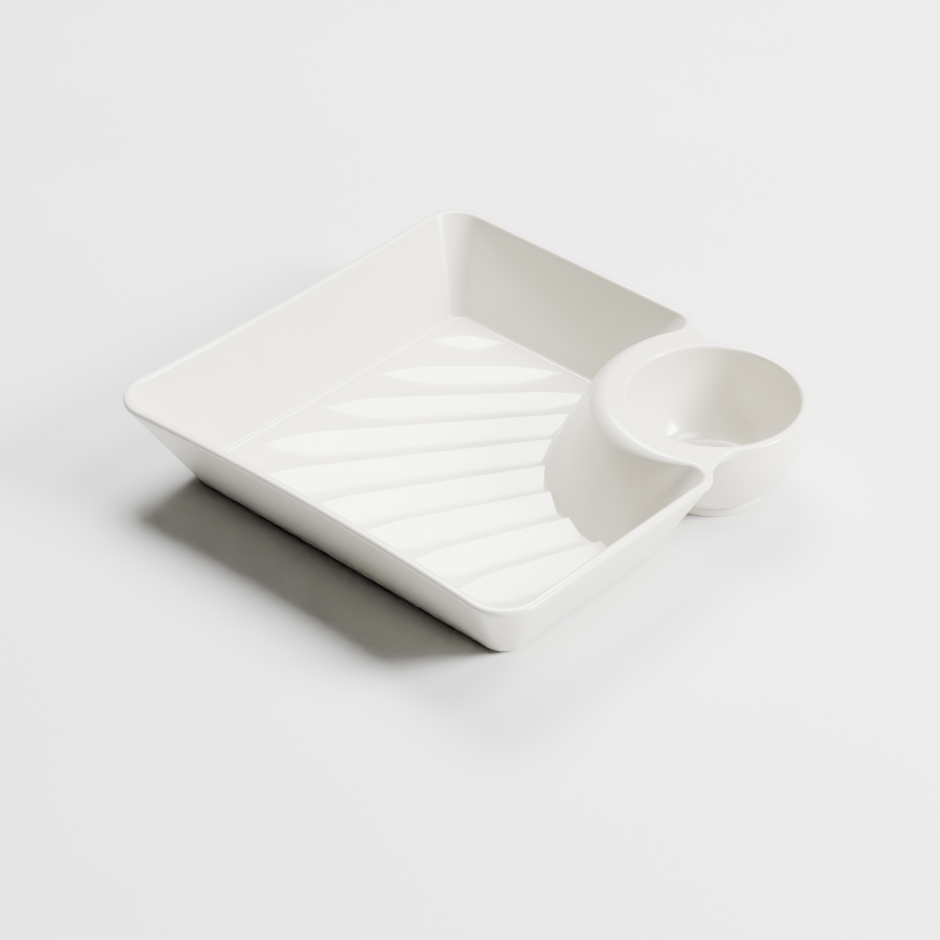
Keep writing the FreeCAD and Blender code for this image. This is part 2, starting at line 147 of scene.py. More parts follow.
right_turn, back_turn = turn_centres(1, divider_run)
right_valley, back_valley = valley_centre(right_turn, 1), valley_centre(back_turn, -1)
right_mark, back_mark = heading(right_turn, right_valley), heading(back_turn, back_valley)
print("marks on the turns, degrees:", round(right_mark, 1), round(back_mark, 1))


def tray_outline(way, inset, run=divider_run):
    """Points round the tray, anticlockwise from the mark on the back turn."""
    low = 1 - way
    left = rim_side["left"] + side_run["left"] * low + inset
    right = rim_side["right"] - side_run["right"] * low - inset
    front = rim_side["front"] + side_run["front"] * low + inset
    back = rim_side["back"] - side_run["back"] * low - inset
    corner = rim_corner * way + base_corner * low - inset
    turn = turn_radius - inset
    right_at, back_at = turn_centres(way, run)
    hollow = divider_rim + run * low + inset
    bows = {"left": left_bow / way, "front": front_bow / way} if way else {}
    corners = [
        (None, arc(back_at, turn, back_mark, 90, TURN)),
        ("back", arc(Vector((left + corner, back - corner)), corner, 90, 180, CORNER)),
        ("left", arc(Vector((left + corner, front + corner)), corner, 180, 270, CORNER)),
        ("front", arc(Vector((right - corner, front + corner)), corner, 270, 360, CORNER)),
        ("right", arc(right_at, turn, 0, right_mark, TURN)),
    ]
    points = []
    for name, corner_points in corners:
        if name:
            points += side(points[-1], corner_points[0], bows.get(name), SIDE)
        points += corner_points
    cup_from_right, cup_from_back = heading(right_at, cup_axis), heading(back_at, cup_axis)
    points += arc(right_at, turn, right_mark, cup_from_right, TURN)[1:]
    hollow_end = cup_from_back - 180
    points += arc(cup_axis, hollow, cup_from_right - 180, hollow_end, FACING)[1:]
    points += arc(back_at, turn, cup_from_back, back_mark, TURN)[1:-1]
    return points


# %% [markdown]
# ## The cup's rings and the edge that goes round everything
# The cup is round, so its rings are circles, but their points are set so that they fall in line
# with the tray's: the free side first, then the part that faces the tray. The outer edge of the
# rim leaves the tray at one mark, crosses the valley, goes round the free side of the cup and
# comes back over the other valley.

# %% Cup rings and the outer edge
right_touch, back_touch = heading(cup_axis, right_valley), heading(cup_axis, back_valley)
facing_from, facing_to = heading(cup_axis, right_turn), heading(cup_axis, back_turn)


def cup_ring(radius):
    """A circle on the cup's axis, from the right valley anticlockwise round the free side."""
    points = arc(cup_axis, radius, right_touch, back_touch, FREE)
    points += arc(cup_axis, radius, back_touch, facing_to, TURN)[1:]
    points += arc(cup_axis, radius, facing_to, facing_from + 360, FACING)[1:]
    points += arc(cup_axis, radius, facing_from + 360, right_touch + 360, TURN)[1:-1]
    return points


def outer_edge(inset):
    """The server's whole outer edge at the rim: tray, valley, cup, valley."""
    right_swing = (right_mark + 180, right_touch + 180)
    back_swing = (back_touch + 180, back_mark + 180)
    hollow = valley_radius + inset
    return (tray_outline(1, inset)[:SHARED + 1]
            + arc(right_valley, hollow, *right_swing, VALLEY)[1:-1]
            + cup_ring(cup_rim - inset)[:FREE + 1]
            + arc(back_valley, hollow, *back_swing, VALLEY)[1:-1])


print("points round the tray", len(tray_outline(1, 0)), "round the cup", len(cup_ring(1)),
      "round the edge", len(outer_edge(0)))

# %% [markdown]
# ## Rings and skins
# The body is built as a potter thinks of it: rings stacked through the wall, with a skin
# stretched from each ring to the next. A cube extruded upwards would need its corners rounded
# afterwards, and a spin only makes round things, but the server's outline changes shape from
# level to level, so rings bridged to rings suit it best. `ring` lays a closed string of edges at
# a height, and `skin` bridges two of them.

# %% Rings and skins
def ring(mesh, points, heights):
    """A closed string of edges. One height serves for all of its points, or each has its own."""
    if not isinstance(heights, list):
        heights = [heights] * len(points)
    verts = [mesh.verts.new((point.x, point.y, height)) for point, height in zip(points, heights)]
    for here, there in zip(verts, verts[1:] + verts[:1]):
        mesh.edges.new((here, there))
    return verts


def edges_of(mesh, verts, closed=True):
    """The edges that run along a string of points."""
    ends = verts[1:] + verts[:1] if closed else verts[1:]
    return [mesh.edges.get((here, there)) or mesh.edges.new((here, there))
            for here, there in zip(verts, ends)]


def skin(mesh, first, second, closed=True):
    """Stretch a skin from one string of edges to another of the same length."""
    edges = edges_of(mesh, first, closed) + edges_of(mesh, second, closed)
    return bmesh.ops.bridge_loops(mesh, edges=edges)["faces"]


def stack(mesh, rings):
    """Skins through a list of rings."""
    for first, second in zip(rings, rings[1:]):
        skin(mesh, first, second)


def close_over(mesh, verts):
    """A flat face over a closed string of points."""
    bmesh.ops.contextual_create(mesh, geom=edges_of(mesh, verts))


def open_edges(mesh):
    """How many edges don't have a face on both sides."""
    return sum(len(edge.link_faces) != 2 for edge in mesh.edges)


# %% [markdown]
# A finished mesh is scaled to metres, and its faces are turned outwards. Edges that turn by more
# than a set angle, such as the crests of the ribs, stay sharp when the rest is shaded smoothly.

# %% Finishing a piece
SHARP_FROM = math.radians(32)


def finish_piece(mesh, name):
    """Turn a bmesh in millimetres into an object in metres, smooth but for its sharp edges."""
    bmesh.ops.scale(mesh, vec=(MM, MM, MM), verts=mesh.verts)
    bmesh.ops.recalc_face_normals(mesh, faces=mesh.faces)
    for face in mesh.faces:
        face.smooth = True
    for edge in mesh.edges:
        edge.smooth = edge.calc_face_angle(0) < SHARP_FROM
    print(name, "open edges:", open_edges(mesh))
    data = bpy.data.meshes.new(name)
    mesh.to_mesh(data)
    mesh.free()
    piece = bpy.data.objects.new(name, data)
    bpy.context.scene.collection.objects.link(piece)
    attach(piece, "root")
    print(name, len(data.vertices), "vertices", len(data.polygons), "faces")
    return piece


# %% [markdown]
# ## The rim's section
# A mould cannot hold a knife edge, and a plate with one would cut the lip, so the rim is round on
# both sides. Its outer edge is one small round. Its inner edge is small too along the tray, but
# where the rim meets the divider it opens into a broad soft shoulder that leads food down
# from the cup. `shoulder` gives that rounding for each point of the tray's outline.

# %% Rim section
SIDE_SLOPE = 0.51
outer_round, inner_round, shoulder_round, mouth_round = 1.5, 1.5, 9.0, 1.4
SHOULDER_RISE = 0.42
lean = math.degrees(math.atan(SIDE_SLOPE))


def ease(share):
    share = min(1.0, max(0.0, share))
    return share * share * (3 - 2 * share)


def shoulder(index):
    """Rounding of the rim's inner edge at a point of the tray's outline."""
    first, last = SHARED, SHARED + 2 * TURN + FACING
    if index <= first or index >= last:
        return inner_round
    inwards = min(index - first, last - index)
    opened = ease((inwards - TURN / 2) / (FACING * SHOULDER_RISE))
    return inner_round + (shoulder_round - inner_round) * opened


def inner_edge(turned):
    """The ring of the tray's inner rim edge, turned from 0 at the top to 1 on the wall."""
    points, heights = [], []
    outlines = {}
    for index in range(SHARED + 2 * TURN + FACING):
        radius = shoulder(index)
        reach = radius * math.tan(math.radians(90 - lean) / 2)
        angle = math.radians((90 - lean) * turned)
        out = wall - reach + radius * math.sin(angle)
        drop = radius * (1 - math.cos(angle))
        way = 1 - drop / rim_height
        inset = out - drop * SIDE_SLOPE
        key = (round(way, 6), round(inset, 6))
        if key not in outlines:
            outlines[key] = tray_outline(way, inset)
        points.append(outlines[key][index])
        heights.append(rim_height - drop)
    return points, heights


print("the wall leans", round(lean, 1), "degrees; the shoulder opens to", shoulder_round, "mm")


# %% [markdown]
# ## The body
# One closed skin stands for the tray wall, the divider and the cup. First the inside of the tray,
# from the plain plate under the ribbed floor, round a small hollow at the foot of the wall and
# up to the rim.

# %% Inside of the tray
body = bmesh.new()
EDGE_STEPS = 7
crease_round = 2.4
plate_top, plate_step = floor_top - 0.4, 0.6
wall_foot = []
foot_reach = crease_round * math.tan(math.radians(90 - lean) / 2)
for step in range(EDGE_STEPS + 1):
    angle = math.radians((90 - lean) * step / EDGE_STEPS)
    rise = crease_round * (1 - math.cos(angle))
    inwards = foot_reach - crease_round * math.sin(angle) + rise * SIDE_SLOPE
    height = floor_top + rise
    wall_foot.append(ring(body, tray_outline(height / rim_height, wall + inwards), height))
plate_edge = tray_outline(floor_top / rim_height, wall + foot_reach + plate_step)
plate_ring = ring(body, plate_edge, plate_top)
inner_rings = [ring(body, *inner_edge(step / EDGE_STEPS)) for step in range(EDGE_STEPS, -1, -1)]
stack(body, [plate_ring, *wall_foot])
wall_levels = [wall_foot[-1]]
LEVELS = 6
for level in range(1, LEVELS):
    share = level / LEVELS
    pairs = list(zip(wall_foot[-1], inner_rings[0]))
    points = [low.co.xy.lerp(high.co.xy, share) for low, high in pairs]
    heights = [low.co.z + (high.co.z - low.co.z) * share for low, high in pairs]
    wall_levels.append(ring(body, points, heights))
stack(body, [*wall_levels, *inner_rings])
close_over(body, plate_ring)
print("inside of the tray:", len(body.faces), "faces")

# %% [markdown]
# The inside of the cup is a bowl: straight below the mouth, round at the side and turned into a
# flat bottom. A spin would make it in one go, but then its points would not fall in line with the
# tray's, so it is a stack of circles too.

# %% Inside of the cup
ball_height, ball_past = 32.0, 1.4
ball_in, ball_out = cup_mouth + ball_past, cup_rim + ball_past
bowl_floor, bowl_turn = 5.2, 12.0
turn_height = bowl_floor + bowl_turn
turn_at = math.sqrt((ball_in - bowl_turn) ** 2 - (ball_height - turn_height) ** 2) - ball_past
turn_angle = math.degrees(math.asin((ball_height - turn_height) / (ball_in - bowl_turn)))
BALL_STEPS = 16


def profile_arc(radius, height, size, start, end, steps):
    """Radius and height of points on an arc of a turned profile, angles from the level down."""
    found = []
    for i in range(steps + 1):
        angle = math.radians(start + (end - start) * i / steps)
        found.append((radius + size * math.cos(angle), height - size * math.sin(angle)))
    return found


mouth_at, mouth_height = cup_mouth + mouth_round, rim_height - mouth_round
mouth = profile_arc(mouth_at, mouth_height, mouth_round, 270, 180, EDGE_STEPS)
bowl = profile_arc(-ball_past, ball_height, ball_in, 0, turn_angle, BALL_STEPS)
bowl += profile_arc(turn_at, turn_height, bowl_turn, turn_angle, 90, BALL_STEPS)[1:]
bowl += [(turn_at / 2, bowl_floor)]
mouth_rings = [ring(body, cup_ring(radius), height) for radius, height in mouth + bowl]
stack(body, mouth_rings)
close_over(body, mouth_rings[-1])
print("bottom of the bowl is flat to", round(turn_at, 1), "mm")

# %% [markdown]
# ## Outside of the body
# The outer edge is rounded over and runs down. A little below the rim the tray's wall and the
# cup part: the wall goes on round the hidden side of the divider, the cup becomes a bowl of its
# own, and the underside of the bridge joins them. The tray's wall swells by under a millimetre
# towards the rim, so that its rounded edge reaches as far out as the outline says.

# %% Outer edge
tray_count = SHARED + 2 * TURN + FACING
bridge_thickness = 3.6
bridge_under = rim_height - bridge_thickness
over_top = math.radians(90 + lean)
swell_height = rim_height - outer_round * (1 - math.cos(over_top))
swell_most = (rim_height - swell_height) * SIDE_SLOPE - outer_round * (1 - math.sin(over_top))


def swollen(points, plain, index):
    """A point of the tray's outside, eased back to the plain outline towards the marks."""
    full = ease(min(index, SHARED - index) / TURN) if index < SHARED else 0.0
    return plain[index].lerp(points[index], full)


def wall_outside(height):
    """The tray's outside at a height below the rim's rounding."""
    way = height / rim_height
    plain = tray_outline(way, 0, divider_back_run)
    swell = swell_most * (height - floor_under) / (swell_height - floor_under)
    points = tray_outline(way, -swell, divider_back_run)
    return [swollen(points, plain, index) for index in range(tray_count)]


edge_rings = []
for step in range(EDGE_STEPS + 4):
    angle = min(over_top, math.radians(90 * step / EDGE_STEPS))
    drop = outer_round * (1 - math.cos(angle))
    inset = outer_round * (1 - math.sin(angle))
    points = outer_edge(inset if step <= EDGE_STEPS else 0.0)
    if step > EDGE_STEPS:
        under = tray_outline(1, inset)
        points[:SHARED + 1] = [swollen(under, points, index) for index in range(SHARED + 1)]
    edge_rings.append(ring(body, points, rim_height - drop))
    if angle == over_top:
        break
stack(body, edge_rings)
print("outer edge:", len(edge_rings), "rings, swelling", round(swell_most, 2), "mm at the rim")

# %% [markdown]
# The outer edge comes down to the level of the bridge's underside. There the one long string of
# points splits in two: round the tray and round the cup. The two valleys join them, and the flat
# underside of the bridge fills the hidden stretch between.

# %% Down to the bridge
wall_bridge = ring(body, wall_outside(bridge_under), bridge_under)
cup_bridge = ring(body, cup_ring(cup_rim), bridge_under)


def valley_run(centre, start, end):
    """Points over a valley at the level of the bridge's underside, ends left out."""
    begin, finish = heading(centre, start.co.xy), heading(centre, end.co.xy)
    swing = (finish - begin + 180) % 360 - 180
    near, far = (start.co.xy - centre).length, (end.co.xy - centre).length
    found = []
    for i in range(1, VALLEY):
        share = i / VALLEY
        at = polar(centre, near + (far - near) * ease(share), begin + swing * share)
        found.append(body.verts.new((at.x, at.y, bridge_under)))
    return found


right_run = valley_run(right_valley, wall_bridge[SHARED], cup_bridge[0])
back_run = valley_run(back_valley, cup_bridge[FREE], wall_bridge[0])
bridge_edge = wall_bridge[:SHARED + 1] + right_run + cup_bridge[:FREE + 1] + back_run
skin(body, edge_rings[-1], bridge_edge)
hidden_wall = wall_bridge[SHARED:] + wall_bridge[:1]
hidden_cup = cup_bridge[FREE:] + cup_bridge[:1]
close_over(body, hidden_wall + back_run[::-1] + hidden_cup + right_run[::-1])
print("bridge at", round(bridge_under, 1), "mm,", len(bridge_edge), "points round its edge")

# %% [markdown]
# Below the bridge the two outsides go their own ways: the tray's wall down to its base, with the
# hidden face of the divider dropping almost straight, and the cup's bowl down to its underside.

# %% Tray outside and base
base_round = 1.6
wall_end = floor_under + base_round
lower_rings = [wall_bridge]
for level in range(1, LEVELS + 1):
    height = bridge_under + (wall_end - bridge_under) * level / LEVELS
    lower_rings.append(ring(body, wall_outside(height), height))
for step in range(1, EDGE_STEPS + 1):
    angle = math.radians((90 - lean) * (1 - step / EDGE_STEPS))
    drop_left = base_round * (1 - math.cos(angle))
    inset = base_round * math.tan(math.radians(90 - lean) / 2) - base_round * math.sin(angle)
    height = floor_under + drop_left
    inset = max(0.0, inset - drop_left * SIDE_SLOPE)
    points = tray_outline(height / rim_height, inset, divider_back_run)
    lower_rings.append(ring(body, points, height))
stack(body, lower_rings)
close_over(body, lower_rings[-1])
print("tray outside:", len(lower_rings), "rings down to", round(height, 1), "mm")

# %% Cup outside
bowl_underside, flat_ring = 1.6, 12.0
last_angle = math.degrees(math.asin((ball_height - bowl_underside) / ball_out))
outside = profile_arc(-ball_past, ball_height, ball_out, 0, last_angle, 2 * BALL_STEPS)
outside += [(flat_ring, bowl_underside)]
cup_outside = [cup_bridge] + [ring(body, cup_ring(radius), height) for radius, height in outside]
stack(body, cup_outside)
close_over(body, cup_outside[-1])
print("cup outside:", len(cup_outside), "rings down to", bowl_underside, "mm")

# %% [markdown]
# ## The land of the rim
# Between the rounded edges the rim is flat. Along the tray and round the free side of the cup it
# is a narrow band; between the divider and the cup it spreads into a broad flat that ends in a
# point at each valley.

# %% Land
outer_land, tray_land, cup_land = edge_rings[0], inner_rings[-1], mouth_rings[0]
skin(body, outer_land[:SHARED + 1], tray_land[:SHARED + 1], closed=False)
cup_start = SHARED + VALLEY
skin(body, outer_land[cup_start:cup_start + FREE + 1], cup_land[:FREE + 1], closed=False)
tray_side = tray_land[SHARED:] + tray_land[:1]
cup_side = cup_land[FREE:] + cup_land[:1]
right_land = outer_land[SHARED:cup_start + 1]
back_land = outer_land[cup_start + FREE:] + outer_land[:1]
close_over(body, tray_side + back_land[::-1] + cup_side + right_land[::-1])
bmesh.ops.triangulate(body, faces=[face for face in body.faces if len(face.verts) > 4])
server_body = finish_piece(body, "server_body")
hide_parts("tray_wall", "divider_wall", "dip_cup")
even_shading = server_body.modifiers.new("even shading", "WEIGHTED_NORMAL")
even_shading.keep_sharp = True

# %% [markdown]
# ## The ribbed floor
# Nine low ribs fan out over the floor so that food sits clear of oil and sauce. Each rib is
# sharp along its back and slopes off softly towards the front, and its ends run out to nothing.
# A sculpted height map would blur the crests, so the floor is a grid whose columns run along the
# ribs: all of them point at one place beyond the cup, and a crest always falls on a column.
# Each rib is given by the direction of its crest, in degrees, and by how far from that place its
# near and far ends lie.

# %% Where the ribs run
fan_point = Vector((160.7, 239.3))
RIBS = [(38.3, 269, 301), (42.9, 246, 320), (46.9, 234, 343), (50.5, 205, 368), (54.1, 205, 377),
        (57.7, 205, 362), (61.2, 205, 349), (65.0, 205, 337), (68.8, 205, 327)]
MARGIN = 8  # degrees of plain floor outside the first and the last rib
crests = [RIBS[0][0] - MARGIN] + [rib[0] for rib in RIBS] + [RIBS[-1][0] + MARGIN]
rib_height, rib_taper, crest_bow = 1.7, 26.0, 0.5
slope_angle, back_angle, EVEN_SHARE = 3.1, 0.2, 0.45
print(len(RIBS), "ribs, degrees apart:", [round(b - a, 1) for a, b in zip(crests, crests[1:])])


def fullness(rib, distance):
    """How far a rib has risen at a distance from the fan point, from 0 at its tips to 1."""
    if not 1 <= rib <= len(RIBS):
        return 0.0
    _, near, far = RIBS[rib - 1]
    run_out = min(distance - near, far - distance) / rib_taper
    return math.sin(min(1.0, max(0.0, run_out)) * math.pi / 2)


def rib_rise(rib, share, distance):
    """Height over the flat of the floor, a share of the way from one crest to the next."""
    gap = crests[rib + 1] - crests[rib]
    full = fullness(rib, distance)
    rise = 0.0
    if full > 0:
        ahead = share * gap / (slope_angle * full)
        if ahead < EVEN_SHARE:
            rise = 1 - ahead / (0.5 + EVEN_SHARE / 2)
        else:
            rise = max(0.0, 1 - ahead) ** 2 / (1 - EVEN_SHARE ** 2)
    climb = 1 - (1 - share) * gap / back_angle
    return rib_height * max(rise * full, climb * fullness(rib + 1, distance), 0.0)


# %% [markdown]
# The columns crowd together towards each crest, where the shape changes fastest, and the last
# column of each gap stands just behind the next crest, so that the steep back is one clean step.

# %% Grid of columns and arcs
COLUMNS, ARCS, GATHER = 24, 150, 1.5
near_arc, far_arc = 215.0, 425.0
columns = []
for rib, (crest, after) in enumerate(zip(crests, crests[1:])):
    back_share = 1 - back_angle / (after - crest)
    columns += [(rib, back_share * (i / COLUMNS) ** GATHER) for i in range(COLUMNS + 1)]
floor = bmesh.new()
bmesh.ops.create_grid(floor, x_segments=len(columns) - 1, y_segments=ARCS, size=0.5)
for vert in floor.verts:
    rib, share = columns[round((vert.co.x + 0.5) * (len(columns) - 1))]
    distance = near_arc + (vert.co.y + 0.5) * (far_arc - near_arc)
    bow = crest_bow * (fullness(rib, distance) * (1 - share) + fullness(rib + 1, distance) * share)
    bearing = crests[rib] + (crests[rib + 1] - crests[rib]) * share - bow
    at = polar(fan_point, distance, bearing + 180)
    vert.co = (at.x, at.y, floor_top + rib_rise(rib, share, distance))
print("floor grid:", len(columns), "columns,", ARCS + 1, "arcs")

# %% [markdown]
# The grid reaches past the tray on all sides. It is cut off inside the wall, where the cut can't
# be seen, and under the divider, and then given a skirt and a bottom so that it is a closed piece.

# %% Trim to the tray
floor_low = floor_top / rim_height
trim, skirt_depth = wall - 0.3, 1.2
hidden = {name: rim_side[name] + sign * (side_run[name] * (1 - floor_low) + trim)
          for name, sign in (("left", 1), ("right", -1), ("front", 1), ("back", -1))}
for name, axis, sign in (("left", (1, 0, 0), -1), ("right", (1, 0, 0), 1),
                         ("front", (0, 1, 0), -1), ("back", (0, 1, 0), 1)):
    bmesh.ops.bisect_plane(floor, geom=floor.verts[:] + floor.edges[:] + floor.faces[:],
                           plane_co=Vector(axis) * hidden[name], plane_no=Vector(axis) * sign,
                           clear_outer=True)
hollow = divider_rim + divider_run * (1 - floor_low) + wall / 2
under_cup = [face for face in floor.faces
             if (face.calc_center_median().xy - cup_axis).length < hollow]
bmesh.ops.delete(floor, geom=under_cup, context="FACES")
bmesh.ops.recalc_face_normals(floor, faces=floor.faces)
if sum(face.normal.z for face in floor.faces) < 0:
    bmesh.ops.reverse_faces(floor, faces=floor.faces)
rim_edges = [edge for edge in floor.edges if edge.is_boundary]
skirt = bmesh.ops.extrude_edge_only(floor, edges=rim_edges)["geom"]
for item in skirt:
    if isinstance(item, bmesh.types.BMVert):
        item.co.z = floor_top - skirt_depth
bmesh.ops.contextual_create(floor, geom=[edge for edge in floor.edges if edge.is_boundary])
ribbed_floor = finish_piece(floor, "rib_fan_floor")
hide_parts("ribbed_floor")

# %% [markdown]
# ## Feet
# A low ring under the tray and a round one under the cup carry the server. They are the only
# places that touch the table, so they are rounded at the bottom and ground a little dull.

# %% Foot ring under the tray
foot_inset, foot_width, foot_round, soft = 2.4, 4.0, 0.45, 0.3
buried = floor_under + 0.2
foot_outer, foot_inner = foot_inset, foot_inset + foot_width
section = [(foot_outer, buried), (foot_outer, foot_round),
           (foot_outer + foot_round * soft, foot_round * soft), (foot_outer + foot_round, 0),
           (foot_inner - foot_round, 0), (foot_inner - foot_round * soft, foot_round * soft),
           (foot_inner, foot_round), (foot_inner, buried)]
foot = bmesh.new()
foot_rings = []
for inset, height in section:
    foot_rings.append(ring(foot, tray_outline(0, inset, divider_back_run), height))
stack(foot, foot_rings + foot_rings[:1])
tray_foot = finish_piece(foot, "tray_foot")
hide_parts("tray_foot_ring")

# %% Foot ring under the cup
cup_foot_radius, cup_foot_width, cup_foot_height = 23.6, 3.6, 4.2
shoulder_in, inner_height, half_soft = 0.9, 3.0, 0.6
cup_foot_inner = cup_foot_radius - cup_foot_width
section = [(cup_foot_radius - shoulder_in, cup_foot_height),
           (cup_foot_radius, cup_foot_height - shoulder_in), (cup_foot_radius, foot_round * 2),
           (cup_foot_radius - foot_round * half_soft, foot_round * half_soft),
           (cup_foot_radius - foot_round * 2, 0), (cup_foot_inner + foot_round, 0),
           (cup_foot_inner, foot_round), (cup_foot_inner, inner_height)]
round_foot = bmesh.new()
foot_rings = [ring(round_foot, cup_ring(radius), height) for radius, height in section]
stack(round_foot, foot_rings + foot_rings[:1])
cup_foot = finish_piece(round_foot, "cup_foot")
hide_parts("cup_foot_ring")

# %% [markdown]
# ## Sums on shader sockets
# A finish is a small tree of nodes. Linking them one by one soon gets hard to read, so `Wire`
# holds the output of one node and lets outputs be added, subtracted and multiplied like numbers.
# Its `node` method adds any other node.

# %% Wires
class Wire:
    """The output of a shader node, for use in sums."""

    def __init__(self, tree, socket=None):
        self.tree = tree
        self.socket = socket

    def node(self, kind, settings, inputs, output=0):
        """Add a node: its settings first, then a value or a wire for each of its sockets."""
        made = self.tree.nodes.new(kind)
        for name, value in settings.items():
            setattr(made, name, value)
        for name, value in inputs.items():
            if isinstance(value, Wire):
                self.tree.links.new(value.socket, made.inputs[name])
            else:
                made.inputs[name].default_value = value
        return Wire(self.tree, made.outputs[output])

    def math(self, operation, first, second):
        return self.node("ShaderNodeMath", {"operation": operation}, {0: first, 1: second})

    def __add__(self, other):
        return self.math("ADD", self, other)

    __radd__ = __add__

    def __mul__(self, other):
        return self.math("MULTIPLY", self, other)

    __rmul__ = __mul__

    def __sub__(self, other):
        return self.math("SUBTRACT", self, other)

    def __rsub__(self, other):
        return self.math("SUBTRACT", other, self)


# %% [markdown]
# ## Patterns
# All patterns are laid out in object coordinates, in metres, so they keep their size on every
# piece. `grain` is plain noise; `strokes` is noise drawn out in one direction, for the fine
# marks that use leaves; `from_to` turns part of a range into a mask.

# %% Patterns
COLOUR_A, COLOUR_B, MIXED_COLOUR = 6, 7, 2


def grain(place, scale, detail, vector=None):
    """Plain noise. A scale of 100 has patches about a centimetre across."""
    return place.node("ShaderNodeTexNoise", {}, {"Vector": vector or place, "Scale": scale,
                                                  "Detail": detail, "Roughness": 0.55})


def strokes(place, turn, scale, draw_out):
    """Noise drawn out along a direction in plan, turned in radians."""
    laid = place.node("ShaderNodeMapping", {}, {"Vector": place, "Rotation": (0, 0, turn),
                                                "Scale": (1 / draw_out, 1, 1)})
    return grain(place, scale, 2.0, laid)


def from_to(value, low, high):
    """A mask that goes softly from 0 to 1 while a value goes from low to high."""
    return value.node("ShaderNodeMapRange", {"interpolation_type": "SMOOTHSTEP"},
                      {"Value": value, "From Min": low, "From Max": high})


def blend(mask, under, over):
    """Colour that goes from one to another with a mask."""
    return mask.node("ShaderNodeMix", {"data_type": "RGBA"},
                     {0: mask, COLOUR_A: under, COLOUR_B: over}, MIXED_COLOUR)


def new_finish(name):
    """An empty finish: its material, its shader and a wire that carries the object coordinates."""
    material = bpy.data.materials.new(name)
    material.use_nodes = True
    tree = material.node_tree
    place = Wire(tree).node("ShaderNodeTexCoord", {}, {}, "Object")
    return material, tree.nodes["Principled BSDF"], place


def link(wire, shader, socket):
    """Feed a socket of the shader from a wire."""
    wire.tree.links.new(wire.socket, shader.inputs[socket])


# %% [markdown]
# ## White melamine
# The server is pressed from warm white resin and comes out of a polished mould, so it is smooth
# and glossy but never perfect: the white drifts a little from place to place, the surface has a
# faint ripple, and the floor, where tongs and forks scrape, has fine hazy strokes in it. A thin
# coat gives the clear highlight over the softer sheen of the resin.

# %% White melamine
WARM_WHITE, DEEP_WHITE = (0.655, 0.625, 0.535, 1), (0.615, 0.58, 0.49, 1)


def melamine(name, gloss, scraped):
    """Pressed white resin. `scraped` from 0 to 1 sets how much use shows in the gloss."""
    material, shader, place = new_finish(name)
    drift = from_to(grain(place, scale=22.0, detail=3.0), 0.35, 0.7)
    clouds = from_to(grain(place, scale=150.0, detail=4.0), 0.3, 0.75)
    link(blend(drift * 0.6 + clouds * 0.25, WARM_WHITE, DEEP_WHITE), shader, "Base Color")
    marks = from_to(strokes(place, turn=0.9, scale=900.0, draw_out=24.0), 0.6, 0.72)
    marks = marks + from_to(strokes(place, turn=-0.5, scale=1100.0, draw_out=30.0), 0.62, 0.74)
    patches = from_to(grain(place, scale=60.0, detail=2.0), 0.42, 0.62)
    haze = marks * patches * scraped
    link(gloss + drift * 0.03 + clouds * 0.02 + haze * 0.12, shader, "Roughness")
    ripple = grain(place, scale=75.0, detail=2.0) + grain(place, scale=700.0, detail=3.0) * 0.12
    bump = place.node("ShaderNodeBump", {}, {"Height": ripple - haze * 0.03,
                                             "Strength": 0.12, "Distance": 0.0006})
    link(bump, shader, "Normal")
    shader.inputs["IOR"].default_value = 1.5
    shader.inputs["Coat Weight"].default_value = 0.35
    shader.inputs["Coat Roughness"].default_value = 0.09
    return material


body_white = melamine("white melamine", 0.21, 0.35)
floor_white = melamine("white melamine, scraped floor", 0.2, 1.0)
for piece, finish in ((server_body, body_white), (ribbed_floor, floor_white)):
    piece.data.materials.append(finish)
print("white melamine on", server_body.name, "and", ribbed_floor.name)

# %% [markdown]
# ## Rubbed feet
# The feet are the same resin. They slide on tables, so their undersides have lost their gloss
# and hold a little grey. The mask is the height above the table, broken up by noise.

# %% Rubbed feet
RUBBED_WHITE = (0.56, 0.54, 0.48, 1)
rubbed, rubbed_shader, rubbed_place = new_finish("rubbed foot")
levels = rubbed_place.node("ShaderNodeSeparateXYZ", {}, {0: rubbed_place}, "Z")
patchy = grain(rubbed_place, scale=320.0, detail=4.0)
worn = 1 - from_to(levels + (patchy - 0.5) * 0.0012, 0.0001, 0.0009)
scuffs = from_to(strokes(rubbed_place, turn=0.3, scale=1400.0, draw_out=14.0), 0.5, 0.7)
link(blend(worn * (scuffs * 0.6 + 0.4), WARM_WHITE, RUBBED_WHITE), rubbed_shader, "Base Color")
link(0.27 + worn * 0.3 + scuffs * worn * 0.12, rubbed_shader, "Roughness")
foot_bump = rubbed_place.node("ShaderNodeBump", {}, {"Height": scuffs * worn + patchy * 0.3,
                                                     "Strength": 0.2, "Distance": 0.0002})
link(foot_bump, rubbed_shader, "Normal")
for piece in (tray_foot, cup_foot):
    piece.data.materials.append(rubbed)
print("finishes:", [material.name for material in bpy.data.materials if material.users])

# %% [markdown]
# ## Camera
# A long lens from the front right, well above the table, so that the inside of the tray and of
# the cup show and the sides stay almost parallel. The camera is placed by two angles round the
# point it looks at, and turned by a third about its own axis.

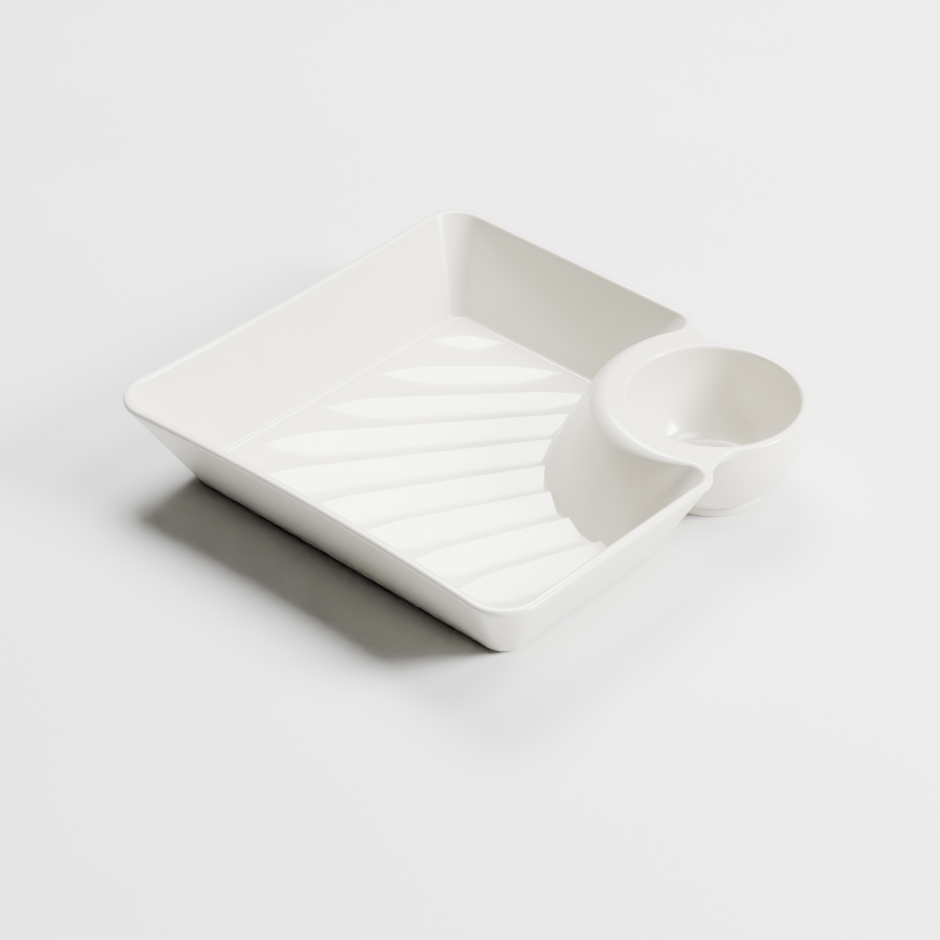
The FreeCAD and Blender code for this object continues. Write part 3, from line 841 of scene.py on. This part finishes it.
# %% Camera
CAMERA_AZIMUTH, CAMERA_ELEVATION, CAMERA_ROLL = map(math.radians, (42.16, 35.97, 0.34))
CAMERA_DISTANCE, LENS, SENSOR = 1.1661, 116.81, 36.0
look_at = Vector((-0.00602, 0.00152, 0))
back_to_camera = Vector((math.sin(CAMERA_AZIMUTH) * math.cos(CAMERA_ELEVATION),
                         -math.cos(CAMERA_AZIMUTH) * math.cos(CAMERA_ELEVATION),
                         math.sin(CAMERA_ELEVATION)))
level_right = Vector((0, 0, 1)).cross(back_to_camera).normalized()
straight_up = back_to_camera.cross(level_right)
turned_right = level_right * math.cos(CAMERA_ROLL) + straight_up * math.sin(CAMERA_ROLL)
turned_up = straight_up * math.cos(CAMERA_ROLL) - level_right * math.sin(CAMERA_ROLL)
camera_data = bpy.data.cameras.new("camera")
camera_data.lens, camera_data.sensor_width = LENS, SENSOR
camera_data.clip_start, camera_data.clip_end = 0.05, 50
camera = bpy.data.objects.new("camera", camera_data)
bpy.context.scene.collection.objects.link(camera)
facing_axes = Matrix((turned_right, turned_up, back_to_camera)).transposed()
stand = Matrix.Translation(look_at + back_to_camera * CAMERA_DISTANCE)
camera.matrix_world = stand @ facing_axes.to_4x4()
bpy.context.scene.camera = camera
print("camera at", [round(v, 3) for v in camera.matrix_world.translation])

# %% [markdown]
# ## Table
# A plain pale table, one large flat sheet a hair below the feet. Its matt finish has a faint
# mottle, so that it doesn't look like paper.

# %% Table
TABLE_HALF, TABLE_GAP = 4, 0.0001
table = bmesh.new()
bmesh.ops.create_grid(table, x_segments=1, y_segments=1, size=TABLE_HALF)
bmesh.ops.translate(table, vec=(0, 0, -TABLE_GAP), verts=table.verts)
table_data = bpy.data.meshes.new("table")
table.to_mesh(table_data)
table.free()
table_top = bpy.data.objects.new("table", table_data)
bpy.context.scene.collection.objects.link(table_top)
table_finish, table_shader, table_place = new_finish("pale table")
TABLE_GREY, TABLE_PALE = (0.61, 0.61, 0.61, 1), (0.635, 0.635, 0.63, 1)
mottle = from_to(grain(table_place, scale=9.0, detail=4.0), 0.3, 0.7)
link(blend(mottle, TABLE_GREY, TABLE_PALE), table_shader, "Base Color")
link(0.66 + mottle * 0.08, table_shader, "Roughness")
table_data.materials.append(table_finish)
print("table:", 2 * TABLE_HALF, "m square")


# %% [markdown]
# ## Light
# Three soft lamps. The key comes from the right and gives the walls their light and dark sides;
# the gloss lamp stands behind the tray, where the sloping ribs and the foot of the wall mirror it
# towards the camera; the overhead lamp fills the inside. The world adds almost nothing.

# %% Light
def soft_light(name, place, size, power):
    """A rectangular lamp that looks at the server."""
    data = bpy.data.lights.new(name, "AREA")
    data.shape = "RECTANGLE"
    data.size, data.size_y = size
    data.energy = power
    lamp = bpy.data.objects.new(name, data)
    bpy.context.scene.collection.objects.link(lamp)
    lamp.location = place
    lamp.rotation_euler = (-Vector(place)).to_track_quat("-Z", "Y").to_euler()
    print(name, "lamp:", power, "W at", place)


soft_light("key", place=(1.05, 0.55, 0.75), size=(0.4, 0.4), power=100)
soft_light("gloss", place=(-0.54, 0.6, 1.2), size=(0.68, 0.68), power=74)
soft_light("overhead", place=(0.5, 0.45, 1.3), size=(0.5, 0.5), power=28)
WORLD_STRENGTH = 0.01
world = bpy.data.worlds.new("studio")
bpy.context.scene.world = world
world.use_nodes = True
backdrop = world.node_tree.nodes["Background"]
backdrop.inputs["Color"].default_value = (1, 1, 1, 1)
backdrop.inputs["Strength"].default_value = WORLD_STRENGTH
